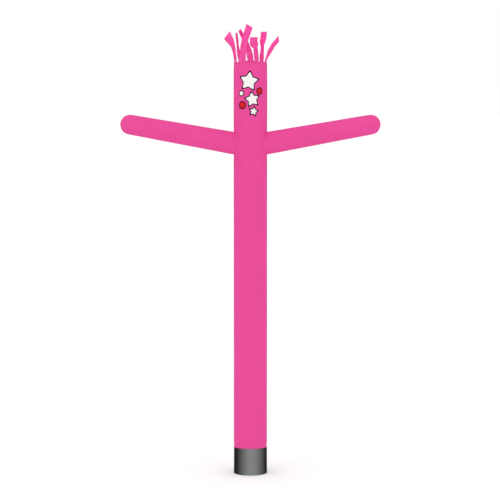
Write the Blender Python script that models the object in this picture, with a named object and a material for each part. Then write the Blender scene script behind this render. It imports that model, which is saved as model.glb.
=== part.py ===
"""Inflatable dancer: a cloth tube with two arms and ribbon hair, blown up on a base cuff.

Metres, +Z up. The origin is the centre of the cuff's open mouth, level with the floor. The
face side looks towards -Y, and the arms reach out along X, tilted a little upwards.
"""

import math

import bmesh
import bpy
from mathutils import Matrix, Vector

# Cloth and clearances
CLOTH = 0.001
CUFF_CLOTH = 0.003
RIBBON_CLOTH = 0.0015
GAP = 0.0003

# Body tube
TUBE_RADIUS = 0.2286
HEAD_TOP_Z = 5.625
RIM_TUCK = 0.004
RIM_TUCK_REACH = 0.045
TUBE_SIDES = 40

# Base cuff
CUFF_TOP_Z = 0.357
CUFF_LEAN = 0.014
CUFF_FRONT_Z = CUFF_TOP_Z + CUFF_LEAN
CUFF_LAP = 0.025
CUFF_TUCK_REACH = 0.06
HEM_HEIGHT = 0.050
HEM_EXTRA = 0.001

# Head cap
CAP_FLANGE = 0.020
CAP_DROP = 0.002
CAP_CROWN = 0.045
CAP_STEPS = 5

# Arms: the axis of each starts on the tube's own axis
ARM_AXIS_Z = 4.506
ARM_TILT = math.radians(10.1)
ARM_TIP_CENTRE = 1.663
ARM_ROOT_RADIUS = 0.152
ARM_TIP_RADIUS = 0.134
ARM_SIDES = 28
ARM_TIP_STEPS = 6
ARM_SEAM_ALLOWANCE = 0.012
ARM_START = 0.10
ARM_RING_STEP = 0.15
ARMHOLE_CUT_END = 0.50

# Hair: ribbons that rise from a narrow sewn band on the head's rim
BAND_HEIGHT = 0.018
BAND_CLOTH = 0.003
RIBBON_WIDTH = 0.118
RIBBON_SPREAD_AT = 0.45
RIBBON_STEPS = 10

# Each row is one fold: from (degrees round the tube, height) to (degrees, height), its depth
# and half its width. Degrees count from the face side towards +X.
TUBE_FOLDS = (
    # from_deg, from_z, to_deg, to_z, depth, half_width
    (60, 4.41, 18, 4.07, 0.0070, 0.034),
    (73, 4.38, 52, 3.97, 0.0050, 0.030),
    (57, 4.66, 24, 4.91, 0.0060, 0.034),
    (-59, 4.40, -22, 4.13, 0.0065, 0.034),
    (-74, 4.38, -58, 4.02, 0.0050, 0.030),
    (-56, 4.64, -30, 4.96, 0.0055, 0.034),
    (119, 4.40, 156, 4.10, 0.0065, 0.034),
    (124, 4.65, 150, 4.88, 0.0055, 0.034),
    (-121, 4.41, -160, 4.04, 0.0070, 0.034),
    (-123, 4.65, -154, 4.92, 0.0055, 0.034),
)

# The same for an arm: degrees count round the arm from its underside, and the second number
# of each pair is the distance along the arm's axis.
ARM_FOLDS = {
    "arm_right": (
        # from_deg, from_x, to_deg, to_x, depth, half_width
        (-38, 0.25, -20, 0.58, 0.0045, 0.030),
        (30, 0.25, 12, 0.66, 0.0050, 0.032),
        (165, 0.25, 172, 0.52, 0.0040, 0.030),
    ),
    "arm_left": (
        (-28, 0.25, -8, 0.62, 0.0050, 0.032),
        (42, 0.25, 24, 0.55, 0.0045, 0.030),
        (-160, 0.25, -168, 0.56, 0.0040, 0.030),
    ),
}

# Each row is one ribbon: where it is sewn round the rim and how wide it is there, a point half
# way up it and its tip, the way that it faces at both, and how far its end is cut on the slant.
HAIR_RIBBONS = (
    # root_deg, root_width, mid_x, mid_y, mid_z, tip_x, tip_y, tip_z, mid_face, tip_face, slant
    (-65, 0.062, -0.228, -0.135, 5.831, -0.316, -0.200, 6.004, -62, -8, 0.032),
    (-143, 0.066, -0.172, 0.212, 5.860, -0.193, 0.236, 6.050, -106, -104, 0.000),
    (178, 0.072, -0.041, 0.238, 5.876, -0.148, 0.241, 6.086, 121, 109, -0.008),
    (-29, 0.086, -0.088, -0.212, 5.882, -0.012, -0.255, 6.126, -42, -40, -0.005),
    (23, 0.056, 0.070, -0.222, 5.829, 0.049, -0.262, 5.972, 62, 24, -0.015),
    (136, 0.064, 0.161, 0.196, 5.860, 0.185, 0.240, 6.061, 116, 136, 0.004),
    (65, 0.062, 0.276, -0.130, 5.820, 0.382, -0.190, 5.957, 57, 54, -0.045),
)

PINK = (237, 80, 157)
CHARCOAL = (46, 47, 50)


def clear_scene():
    for obj in list(bpy.data.objects):
        bpy.data.objects.remove(obj)


def linear(channel):
    """A colour channel from 0 to 255, as light."""
    value = channel / 255
    return value / 12.92 if value <= 0.04045 else ((value + 0.055) / 1.055) ** 2.4


def cloth_material(name, colour, roughness):
    material = bpy.data.materials.new(name)
    material.use_nodes = True
    shader = material.node_tree.nodes["Principled BSDF"]
    shader.inputs["Base Color"].default_value = (*map(linear, colour), 1)
    shader.inputs["Roughness"].default_value = roughness
    shader.inputs["Metallic"].default_value = 0
    return material


def link(name, data, parent=None):
    obj = bpy.data.objects.new(name, data)
    bpy.context.scene.collection.objects.link(obj)
    obj.parent = parent
    return obj


def mesh_object(name, bm, parent, material=None):
    """The finished bmesh as an object, its round sides smooth."""
    mesh = bpy.data.meshes.new(name)
    bm.to_mesh(mesh)
    bm.free()
    mesh.shade_smooth()
    mesh.set_sharp_from_angle(angle=math.radians(35))
    if material:
        mesh.materials.append(material)
    return link(name, mesh, parent)


def helper(obj):
    """Keeps a cutter or a union's operand out of the render and the build."""
    obj.hide_render = True
    obj.display_type = "WIRE"
    return obj


def thicken(obj, thickness):
    """Gives a skin its cloth, on the inner side. Triangles keep both sides' creases alike."""
    obj.modifiers.new("triangles", "TRIANGULATE")
    solidify = obj.modifiers.new("cloth", "SOLIDIFY")
    solidify.thickness = thickness
    solidify.offset = -1


def boolean(obj, other, operation, solver="EXACT"):
    cut = obj.modifiers.new(other.name, "BOOLEAN")
    cut.operation = operation
    cut.solver = solver
    cut.object = other


def turned(profile, sides, axis=(0, 0, 1), closed=False):
    """A bmesh of the profile turned once round an axis through the origin, its faces out."""
    bm = bmesh.new()
    points = [bm.verts.new(p) for p in profile]
    pairs = list(zip(points, points[1:] + points[:1] if closed else points[1:]))
    edges = [bm.edges.new(pair) for pair in pairs]
    bmesh.ops.spin(
        bm, geom=points + edges, cent=(0, 0, 0), axis=axis, dvec=(0, 0, 0),
        angle=2 * math.pi, steps=sides, use_merge=True, use_duplicate=False,
    )
    bmesh.ops.remove_doubles(bm, verts=bm.verts, dist=1e-5)
    bmesh.ops.recalc_face_normals(bm, faces=bm.faces)
    return bm


def stretch(start, end, step):
    """Evenly spaced values from start up to, but without, end."""
    count = max(1, round((end - start) / step))
    return [start + (end - start) * i / count for i in range(count)]


def fold_depth(folds, across, along):
    """How far the folds draw the cloth in at a point of the unrolled sleeve."""
    point, total = Vector((across, along)), 0.0
    for start, end, depth, half_width in folds:
        run = end - start
        share = max(0.0, min(1.0, (point - start).dot(run) / run.length_squared))
        away = (point - start - share * run).length
        total += depth * (1 - share**2) * math.exp(-((away / half_width) ** 2))
    return total


def unrolled(rows, radius):
    """The fold rows with their degrees turned into distances round a sleeve."""
    return [
        (
            Vector((radius * math.radians(from_deg), from_along)),
            Vector((radius * math.radians(to_deg), to_along)),
            depth,
            half_width,
        )
        for from_deg, from_along, to_deg, to_along, depth, half_width in rows
    ]


def tube_radius(z):
    """The blown-up radius: drawn in a little at the rim's seam, and to fit inside the cuff."""
    rim = RIM_TUCK * math.exp(-(HEAD_TOP_Z - z) / RIM_TUCK_REACH)
    cuff = (CUFF_CLOTH + GAP) * math.exp(-max(0.0, z - CUFF_FRONT_Z) / CUFF_TUCK_REACH)
    return TUBE_RADIUS - rim - cuff


def tube_heights():
    """Ring heights, close together at the seams and round the shoulders."""
    return [
        CUFF_TOP_Z - CUFF_LAP,
        *stretch(CUFF_FRONT_Z, CUFF_FRONT_Z + 0.12, 0.04),
        *stretch(CUFF_FRONT_Z + 0.12, 3.88, 0.31),
        *stretch(3.88, 5.04, 0.058),
        *stretch(5.04, HEAD_TOP_Z - 0.12, 0.16),
        *stretch(HEAD_TOP_Z - 0.12, HEAD_TOP_Z, 0.03),
        HEAD_TOP_Z,
    ]


def body_tube(parent, pink, armholes):
    """One long sleeve of cloth, with a round hole cut for each arm."""
    bm = turned([(tube_radius(z), 0, z) for z in tube_heights()], TUBE_SIDES)
    folds = unrolled(TUBE_FOLDS, TUBE_RADIUS)
    for vert in bm.verts:
        x, y, z = vert.co
        radius = math.hypot(x, y)
        across = TUBE_RADIUS * math.atan2(x, -y)
        shrink = 1 - fold_depth(folds, across, z) / radius
        vert.co = (x * shrink, y * shrink, z)
    tube = mesh_object("body_tube", bm, parent, pink)
    thicken(tube, CLOTH)
    for armhole in armholes:
        boolean(tube, armhole, "DIFFERENCE")


def arm_radius(x):
    """The arm's radius at a distance along its axis, narrowing evenly to the tip."""
    share = (x - TUBE_RADIUS) / (ARM_TIP_CENTRE - TUBE_RADIUS)
    return ARM_ROOT_RADIUS + share * (ARM_TIP_RADIUS - ARM_ROOT_RADIUS)


def arm_skin(name, parent, pink, wall_cutter):
    """One sleeve with a round closed end, its root trimmed to a seam inside the armhole."""
    along = [*stretch(ARM_START, ARM_TIP_CENTRE, ARM_RING_STEP), ARM_TIP_CENTRE]
    profile = [(x, 0, arm_radius(x)) for x in along]
    for step in range(1, ARM_TIP_STEPS + 1):
        turn = math.pi / 2 * step / ARM_TIP_STEPS
        x = ARM_TIP_CENTRE + ARM_TIP_RADIUS * math.sin(turn)
        profile.append((x, 0, ARM_TIP_RADIUS * math.cos(turn)))
    bm = turned(profile, ARM_SIDES, axis=(1, 0, 0))
    folds = unrolled(ARM_FOLDS[name], ARM_ROOT_RADIUS)
    for vert in bm.verts:
        x, y, z = vert.co
        radius = math.hypot(y, z)
        if radius > CLOTH:
            across = ARM_ROOT_RADIUS * math.atan2(y, -z)
            shrink = 1 - fold_depth(folds, across, x) / radius
            vert.co = (x, y * shrink, z * shrink)
    arm = mesh_object(name, bm, parent, pink)
    thicken(arm, CLOTH)
    boolean(arm, wall_cutter, "DIFFERENCE")


def armhole_cutter(name, parent):
    """The arm's outside grown by the seam's gap, long enough to pass through one wall."""
    profile = [
        (ARM_START, 0, 0),
        (ARM_START, 0, arm_radius(ARM_START) + GAP),
        (ARMHOLE_CUT_END, 0, arm_radius(ARMHOLE_CUT_END) + GAP),
        (ARMHOLE_CUT_END, 0, 0),
    ]
    bm = turned(profile, ARM_SIDES, axis=(1, 0, 0))
    return helper(mesh_object(name, bm, parent))


def seam_wall_cutter(parent):
    """The space inside the tube's wall, which the arms' seam allowances stop at."""
    radius = TUBE_RADIUS - CLOTH - ARM_SEAM_ALLOWANCE
    low, high = ARM_AXIS_Z - 0.4, ARM_AXIS_Z + 0.5
    profile = [(0, 0, low), (radius, 0, low), (radius, 0, high), (0, 0, high)]
    return helper(mesh_object("seam_wall_cutter", turned(profile, TUBE_SIDES), parent))


def base_cuff(parent, charcoal):
    """A band of heavy cloth lapped over the tube's foot, with a folded hem at the floor.

    Its top leans, a little higher at the face side than at the back."""
    inner = TUBE_RADIUS - CUFF_CLOTH
    hem = TUBE_RADIUS + HEM_EXTRA
    profile = [
        (inner, 0, 0),
        (inner, 0, CUFF_TOP_Z),
        (TUBE_RADIUS, 0, CUFF_TOP_Z),
        (TUBE_RADIUS, 0, HEM_HEIGHT + HEM_EXTRA),
        (hem, 0, HEM_HEIGHT),
        (hem, 0, 0),
    ]
    bm = turned(profile, TUBE_SIDES, closed=True)
    for vert in bm.verts:
        if vert.co.z > CUFF_TOP_Z - GAP:
            vert.co.z -= CUFF_LEAN * vert.co.y / TUBE_RADIUS
    mesh_object("base_cuff", bm, parent, charcoal)


def head_cap(parent, pink):
    """A round panel that closes the tube, domed by the air, its edge turned down inside."""
    radius = tube_radius(HEAD_TOP_Z) - CLOTH - GAP
    edge_z = HEAD_TOP_Z - CAP_DROP
    profile = [(radius, 0, edge_z - CAP_FLANGE)]
    for step in range(CAP_STEPS + 1):
        share = step / CAP_STEPS
        z = edge_z + CAP_CROWN * (1 - (1 - share) ** 2)
        profile.append((radius * (1 - share), 0, z))
    cap = mesh_object("head_cap", turned(profile, TUBE_SIDES), parent, pink)
    thicken(cap, CLOTH)


def smooth_point(before, start, end, after, t):
    """A point of the smooth curve that runs from start to end."""
    return 0.5 * (
        2 * start
        + (end - before) * t
        + (2 * before - 5 * start + 4 * end - after) * t**2
        + (3 * start - before - 3 * end + after) * t**3
    )


def ribbon(bm, rim_radius, row):
    """Adds one ribbon, a flat strip with four sides, rooted inside the band."""
    root_deg, root_width, *middle, mid_face, tip_face, slant = row
    turn = math.radians(root_deg)
    root_z = HEAD_TOP_Z + GAP + 0.3 * BAND_HEIGHT
    root = Vector((rim_radius * math.sin(turn), -rim_radius * math.cos(turn), root_z))
    mid, tip = Vector(middle[:3]), Vector(middle[3:])
    below, above = root - Vector((0, 0, mid.z - root_z)), tip + (tip - mid)
    rings = []
    for step in range(RIBBON_STEPS + 1):
        share = step / RIBBON_STEPS
        if share <= 0.5:
            knots, t = (below, root, mid, tip), share * 2
            face = root_deg + (mid_face - root_deg) * t
        else:
            knots, t = (root, mid, tip, above), share * 2 - 1
            face = mid_face + (tip_face - mid_face) * t
        centre = smooth_point(*knots, t)
        rise = (smooth_point(*knots, t + 0.01) - smooth_point(*knots, t - 0.01)).normalized()
        out = Vector((math.sin(math.radians(face)), -math.cos(math.radians(face)), 0))
        side = rise.cross(out).normalized()
        out = side.cross(rise)
        spread = min(1.0, share / RIBBON_SPREAD_AT)
        half = (root_width + (RIBBON_WIDTH - root_width) * spread) / 2
        end_cut = rise * slant * (step == RIBBON_STEPS)
        corners = ((-1, -1), (1, -1), (1, 1), (-1, 1))
        rings.append([
            bm.verts.new(centre + side * half * i + end_cut * i + out * RIBBON_CLOTH / 2 * j)
            for i, j in corners
        ])
    for (a, b, c, d), (e, f, g, h) in zip(rings, rings[1:]):
        # Both faces of the cloth are split along the same diagonal, so a twist can't cross them.
        for corners in ((a, f, b), (a, e, f), (c, g, d), (d, g, h), (b, f, g, c), (d, h, e, a)):
            bm.faces.new(corners)
    bm.faces.new(rings[0])
    bm.faces.new(reversed(rings[-1]))


def hair(parent, pink):
    """The band sewn round the head's rim, with the ribbons fused into it."""
    outer = tube_radius(HEAD_TOP_Z)
    inner = outer - BAND_CLOTH
    low = HEAD_TOP_Z + GAP
    high = low + BAND_HEIGHT
    profile = [(inner, 0, low), (outer, 0, low), (outer, 0, high), (inner, 0, high)]
    band = mesh_object("hair", turned(profile, TUBE_SIDES, closed=True), parent, pink)
    bm = bmesh.new()
    for row in HAIR_RIBBONS:
        ribbon(bm, (inner + outer) / 2, row)
    ribbons = helper(mesh_object("hair_ribbons", bm, parent))
    # The exact solver loses the band here, where thin strips leave it at a slant.
    boolean(band, ribbons, "UNION", solver="MANIFOLD")


def build():
    clear_scene()
    pink = cloth_material("pink_nylon", PINK, 0.45)
    charcoal = cloth_material("charcoal_nylon", CHARCOAL, 0.4)
    dancer = link("inflatable_dancer", None)
    wall_cutter = seam_wall_cutter(dancer)
    armholes = []
    for name, turn in (("arm_right", 0.0), ("arm_left", math.pi)):
        shoulder = link(name.replace("arm", "shoulder"), None, dancer)
        shoulder.location = (0, 0, ARM_AXIS_Z)
        shoulder.rotation_euler = (
            Matrix.Rotation(turn, 3, "Z") @ Matrix.Rotation(-ARM_TILT, 3, "Y")
        ).to_euler()
        armholes.append(armhole_cutter(name + "hole_cutter", shoulder))
        arm_skin(name, shoulder, pink, wall_cutter)
    body_tube(dancer, pink, armholes)
    base_cuff(dancer, charcoal)
    head_cap(dancer, pink)
    hair(dancer, pink)


build()
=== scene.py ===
import math

import bpy
from mathutils import Matrix, Vector, noise


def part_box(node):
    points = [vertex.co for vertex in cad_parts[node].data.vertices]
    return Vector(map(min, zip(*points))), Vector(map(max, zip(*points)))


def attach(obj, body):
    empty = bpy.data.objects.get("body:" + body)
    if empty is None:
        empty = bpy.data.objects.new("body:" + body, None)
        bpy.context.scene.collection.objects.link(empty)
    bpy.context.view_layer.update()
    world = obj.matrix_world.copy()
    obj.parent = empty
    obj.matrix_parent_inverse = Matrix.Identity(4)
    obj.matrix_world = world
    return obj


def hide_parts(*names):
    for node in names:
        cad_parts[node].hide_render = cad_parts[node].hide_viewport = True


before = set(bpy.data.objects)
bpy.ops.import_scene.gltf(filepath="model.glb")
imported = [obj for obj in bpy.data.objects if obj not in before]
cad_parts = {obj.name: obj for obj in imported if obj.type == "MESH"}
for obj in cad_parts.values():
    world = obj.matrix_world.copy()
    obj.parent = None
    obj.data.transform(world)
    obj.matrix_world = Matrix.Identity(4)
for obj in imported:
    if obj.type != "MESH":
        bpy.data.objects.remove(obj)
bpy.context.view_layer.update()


# The camera looks at the face side from far back, so that the tube's edges run parallel. It
# stands above the shoulders and looks down a little, which shows the round of the cuff's foot.
CAMERA_PLACE = Vector((-0.0055, -25.0, 5.2))
AIM_HEIGHT = 3.085
VIEW_WIDTH = 6.844
FILM_WIDTH = 36.0


def link(obj):
    bpy.context.scene.collection.objects.link(obj)
    return obj


def set_camera():
    sight = Vector((CAMERA_PLACE.x, 0, AIM_HEIGHT)) - CAMERA_PLACE
    film = bpy.data.cameras.new("camera")
    film.sensor_width = FILM_WIDTH
    film.lens = FILM_WIDTH * sight.length / VIEW_WIDTH
    film.clip_end = 1000
    camera = link(bpy.data.objects.new("camera", film))
    camera.location = CAMERA_PLACE
    camera.rotation_euler = sight.to_track_quat("-Z", "Y").to_euler()
    bpy.context.scene.camera = camera


set_camera()


# The studio is a pale floor that runs out of sight, in even white light from all round. A soft
# lamp overhead lifts what faces up. Glossy cloth sees a bright front that fades at the sides,
# and a dim panel at the back.
FLOOR_REACH = 400.0
FLOOR_TONE = 0.97
EVEN_LIGHT = 1.0
LAMP_STRENGTH = 0.35
LAMP_SPREAD = math.radians(70)
LAMP_TILT = (math.radians(28), 0, math.radians(-24))
FRONT_GLOW = 5.9
FRONT_GLOW_ENDS = 0.60
FRONT_GLOW_FALL = 1.8
FRONT_GLOW_TURN = math.radians(7)
BACK_GLOW = 1.6
BACK_GLOW_STARTS = 0.86


def wire(tree, kind, inputs=(), **settings):
    """Adds a node, makes its settings, and sets or links its inputs."""
    node = tree.nodes.new(kind)
    for name, value in settings.items():
        setattr(node, name, value)
    for name, value in dict(inputs).items():
        if isinstance(value, bpy.types.NodeSocket):
            tree.links.new(value, node.inputs[name])
        else:
            node.inputs[name].default_value = value
    return node


def calc(tree, operation, *values):
    """A Math node's result."""
    return wire(tree, "ShaderNodeMath", dict(enumerate(values)), operation=operation).outputs[0]


def light_studio():
    world = bpy.data.worlds.new("studio")
    bpy.context.scene.world = world
    world.use_nodes = True
    world.cycles.sampling_method = "NONE"
    tree = world.node_tree
    tree.nodes.clear()
    way = wire(tree, "ShaderNodeTexCoord").outputs["Generated"]
    back = (-math.sin(FRONT_GLOW_TURN), math.cos(FRONT_GLOW_TURN), 0)
    depth = wire(tree, "ShaderNodeVectorMath", {0: way, 1: back}, operation="DOT_PRODUCT")
    front = wire(
        tree, "ShaderNodeMapRange",
        {"Value": depth.outputs["Value"], "From Min": FRONT_GLOW_ENDS, "From Max": -1.0},
    )
    glow = calc(tree, "POWER", front.outputs["Result"], FRONT_GLOW_FALL)
    glow = calc(tree, "MULTIPLY", glow, FRONT_GLOW)
    back_glow = wire(
        tree, "ShaderNodeMapRange",
        {
            "Value": depth.outputs["Value"], "From Min": BACK_GLOW_STARTS, "From Max": 1.0,
            "To Max": BACK_GLOW,
        },
    )
    glow = calc(tree, "ADD", glow, back_glow.outputs["Result"])
    even = wire(tree, "ShaderNodeBackground", {"Color": (1, 1, 1, 1), "Strength": EVEN_LIGHT})
    panel = wire(tree, "ShaderNodeBackground", {"Color": (1, 1, 1, 1), "Strength": glow})
    glossy = wire(tree, "ShaderNodeLightPath").outputs["Is Glossy Ray"]
    mixed = wire(
        tree, "ShaderNodeMixShader", {0: glossy, 1: even.outputs[0], 2: panel.outputs[0]}
    )
    wire(tree, "ShaderNodeOutputWorld", {"Surface": mixed.outputs[0]})
    lamp = bpy.data.lights.new("overhead_lamp", "SUN")
    lamp.energy = LAMP_STRENGTH
    lamp.angle = LAMP_SPREAD
    overhead = link(bpy.data.objects.new("overhead_lamp", lamp))
    overhead.rotation_euler = LAMP_TILT
    bpy.context.scene.view_settings.view_transform = "Standard"


def lay_floor():
    paint = bpy.data.materials.new("pale_floor")
    paint.use_nodes = True
    shader = paint.node_tree.nodes["Principled BSDF"]
    shader.inputs["Base Color"].default_value = (FLOOR_TONE, FLOOR_TONE, FLOOR_TONE, 1)
    shader.inputs["Roughness"].default_value = 0.9
    shader.inputs["Specular IOR Level"].default_value = 0.1
    reach = FLOOR_REACH
    corners = [(-reach, -reach, 0), (reach, -reach, 0), (reach, reach, 0), (-reach, reach, 0)]
    mesh = bpy.data.meshes.new("floor")
    mesh.from_pydata(corners, [], [(0, 1, 2, 3)])
    mesh.materials.append(paint)
    floor = link(bpy.data.objects.new("floor", mesh))
    floor.visible_glossy = False


light_studio()
lay_floor()


# The base cuff is a band of heavy coated cloth, its top and foot folded in and stitched, its
# ends lapped at the back. The blower's collar goes up inside it, and the dancer stands on it.
TUBE_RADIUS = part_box("body_tube")[1].x
TUBE_GIRTH = 2 * math.pi * TUBE_RADIUS
BACK = TUBE_GIRTH / 2
CUFF_TOP_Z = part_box("base_cuff")[1].z
CUFF_LEAN = 0.014
CUFF_SIDE_Z = CUFF_TOP_Z - CUFF_LEAN
CUFF_THICK = 0.0025
CUFF_ROW = 0.008
CUFF_COLUMNS = 180
CUFF_SWELL = 0.0008
SWELL_SCALE = 1.7
SWELL_RISE = 3
HEM_HEIGHT = 0.050
HEM_EXTRA = 0.0010
HEM_STEP = 0.0012
FOLD_TURNS = 4
CUFF_TOP_SEAMS = (0.006, 0.015)
HEM_SEAM_DROP = 0.006
LAP_HALF = 0.017
LAP_THICK = 0.0012
LAP_SEAM_INSET = 0.004
LAP_ENDS = (0.003, 0.002)
STRIP_EDGE = 0.2
STITCH = 0.0045
STITCH_PITCH = 0.0057
THREAD_RADIUS = 0.00042
STITCH_ARCH = ((0.0, -0.7), (0.22, 0.35), (0.78, 0.35), (1.0, -0.7))
THREAD_SIDES = ((1, 0), (0, 1), (-1, 0), (0, -1))
PATH_STEP = 0.006
CLOTH_MAP = "cloth"
CHARCOAL = (17, 18, 20)
CHARCOAL_THREAD = (38, 39, 42)
DUST_HEIGHT = 0.07
DUST_SHARE = 2.2
COATED_THREAD_PITCH = 0.0011
COATED_WEAVE_DEPTH = 0.00010
# Painted weave shade and highlight: the tone from the dips between threads to their crowns.
COATED_WEAVE_SHADE = (0.8, 1.15)
COATED_TONES = (0.9, 1.1)
COATED_ROUGHNESS = (0.28, 0.35)
THREAD_TONES = (0.9, 1.1)
THREAD_ROUGHNESS = (0.55, 0.7)
THREAD_FIBRE = 0.0006
THREAD_FIBRE_DEPTH = 0.0001


def linear(channel):
    """A colour channel from 0 to 255, as light."""
    value = channel / 255
    return value / 12.92 if value <= 0.04045 else ((value + 0.055) / 1.055) ** 2.4


def light_colour(colour):
    return (*map(linear, colour), 1)


def stretch(start, end, step):
    """Evenly spaced values from start up to, but without, end."""
    count = max(1, round((end - start) / step))
    return [start + (end - start) * i / count for i in range(count)]


def stretch_to(start, end, step):
    """The same with end as the last."""
    return [*stretch(start, end, step), end]


def turns_round(radius):
    """Turns right round a ring of the radius, at the step of a path for stitches."""
    return stretch_to(-math.pi, math.pi, PATH_STEP / radius)


def woven_faces(tall, wide, ring=False, loop=False):
    """Quads between the points of neighbouring rows, which are counted row by row."""
    for i in range(tall if loop else tall - 1):
        for j in range(wide if ring else wide - 1):
            corners = ((i, j), (i, j + 1), (i + 1, j + 1), (i + 1, j))
            yield [a % tall * wide + b % wide for a, b in corners]


def cloth_object(name, points, flat, faces, material, girth=None, thickness=0.0):
    """A sheet whose map holds each point's place on the flat cloth, in metres.

    The girth is the way round a sleeve, so that faces over its joined edges map on from it."""
    used = sorted({i for face in faces for i in face})
    place = {old: new for new, old in enumerate(used)}
    mesh = bpy.data.meshes.new(name)
    mesh.from_pydata(
        [points[i] for i in used], [], [[place[i] for i in face] for face in faces]
    )
    corners = []
    for face in faces:
        first = flat[face[0]][0]
        for i in face:
            across, along = flat[i]
            if girth:
                across += girth * round((first - across) / girth)
            corners.extend((across, along))
    mesh.uv_layers.new(name=CLOTH_MAP).uv.foreach_set("vector", corners)
    mesh.shade_smooth()
    mesh.materials.append(material)
    piece = link(bpy.data.objects.new(name, mesh))
    if thickness:
        solidify = piece.modifiers.new("thickness", "SOLIDIFY")
        solidify.thickness = thickness
        solidify.offset = -1
    return piece


def fix(piece, slot, node=None, **cut):
    """Fixes a piece to the dancer, and hides the part that it replaces. Its flat cut is not used."""
    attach(piece, "root")
    if node:
        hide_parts(node)
    return piece


def walk(path, stops):
    """The (point, outward) pairs of a path at rising lengths along it."""
    found, done, spot = [], 0.0, 0
    run = (path[1][0] - path[0][0]).length
    for stop in stops:
        while stop > done + run and spot < len(path) - 2:
            done += run
            spot += 1
            run = (path[spot + 1][0] - path[spot][0]).length
        (start, start_out), (end, end_out) = path[spot], path[spot + 1]
        share = (stop - done) / run
        found.append((start.lerp(end, share), start_out.lerp(end_out, share)))
    return found


def sew(name, paths, thread, slot):
    """Stitches end to end along paths of (point, outward) pairs, their ends in the cloth."""
    points, faces = [], []
    wide, tall = len(THREAD_SIDES), len(STITCH_ARCH)
    for path in paths:
        length = sum((end[0] - start[0]).length for start, end in zip(path, path[1:]))
        starts = stretch(0.0, length, STITCH_PITCH)
        stops = [start + STITCH * share for start in starts for share, _ in STITCH_ARCH]
        spots = walk(path, stops)
        for first in range(0, len(spots), tall):
            base = len(points)
            run = spots[first + tall - 1][0] - spots[first][0]
            for (point, outward), (_, rise) in zip(spots[first:first + tall], STITCH_ARCH):
                side = run.cross(outward).normalized()
                for i, j in THREAD_SIDES:
                    points.append(point + THREAD_RADIUS * (side * i + outward * (j + rise)))
            faces.extend([base + i for i in face] for face in woven_faces(tall, wide, ring=True))
            faces.append([base + i for i in reversed(range(wide))])
            faces.append([base + wide * (tall - 1) + i for i in range(wide)])
    mesh = bpy.data.meshes.new(name)
    mesh.from_pydata(points, [], faces)
    mesh.shade_smooth()
    mesh.materials.append(thread)
    return fix(link(bpy.data.objects.new(name, mesh)), slot)


def seam_strip(name, at, runs, half_width, thick, material, mirrored=False):
    """A folded strip of cloth over a seam. at(run, offset, lift) is a place on what is below."""
    fold = min(thick, half_width / 4)
    edge = STRIP_EDGE * thick
    section = (
        (-half_width, edge), (-half_width + fold, thick), (0.0, thick),
        (half_width - fold, thick), (half_width, edge),
    )
    points = [at(run, offset, lift) for run in runs for offset, lift in section]
    flat = [(offset, run) for run in runs for offset, lift in section]
    faces = [face[::-1] if mirrored else face for face in woven_faces(len(runs), len(section))]
    return cloth_object(name, points, flat, faces, material, thickness=thick)


def new_cloth(name):
    cloth = bpy.data.materials.new(name)
    cloth.use_nodes = True
    return cloth, cloth.node_tree


def finish_cloth(tree, colour, roughness, height, depth, even):
    """Links the cloth's colour, roughness and relief, and sets what is even all over it."""
    shader = tree.nodes["Principled BSDF"]
    relief = wire(tree, "ShaderNodeBump", {"Height": height, "Distance": depth})
    tree.links.new(colour, shader.inputs["Base Color"])
    tree.links.new(roughness, shader.inputs["Roughness"])
    tree.links.new(relief.outputs["Normal"], shader.inputs["Normal"])
    for name, value in even.items():
        shader.inputs[name].default_value = value


def weave(tree, pitch):
    """The height of a plain weave, from 0 to 1: each thread arches over, then under the next."""
    place = wire(tree, "ShaderNodeUVMap", uv_map=CLOTH_MAP).outputs["UV"]
    sides = wire(tree, "ShaderNodeSeparateXYZ", {0: place})
    arches = []
    for side in ("X", "Y"):
        turn = calc(tree, "MULTIPLY", sides.outputs[side], math.pi / pitch)
        arches.append(calc(tree, "ABSOLUTE", calc(tree, "SINE", turn)))
    over = wire(tree, "ShaderNodeTexChecker", {"Vector": place, "Scale": 1 / pitch})
    mixed = wire(
        tree, "ShaderNodeMix", {"Factor": over.outputs["Fac"], "A": arches[0], "B": arches[1]}
    )
    return mixed.outputs["Result"]


def spread(tree, value, low, high, from_low=0.0, from_high=1.0):
    """The value moved from one range to another."""
    inputs = {
        "Value": value, "From Min": from_low, "From Max": from_high,
        "To Min": low, "To Max": high,
    }
    return wire(tree, "ShaderNodeMapRange", inputs).outputs["Result"]


CLOUD_SPAN = (0.3, 0.7)


def patchy(tree, size, low, high, detail=2.0):
    """An uneven value between low and high, its patches about the given size in metres."""
    where = wire(tree, "ShaderNodeTexCoord").outputs["Object"]
    cloud = wire(
        tree, "ShaderNodeTexNoise", {"Vector": where, "Scale": 1 / size, "Detail": detail}
    )
    return spread(tree, cloud.outputs["Fac"], low, high, *CLOUD_SPAN)


def dyed(tree, colour, share):
    """The colour, lighter or darker by the share."""
    inputs = {"Color": light_colour(colour), "Value": share}
    return wire(tree, "ShaderNodeHueSaturation", inputs).outputs["Color"]


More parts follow.
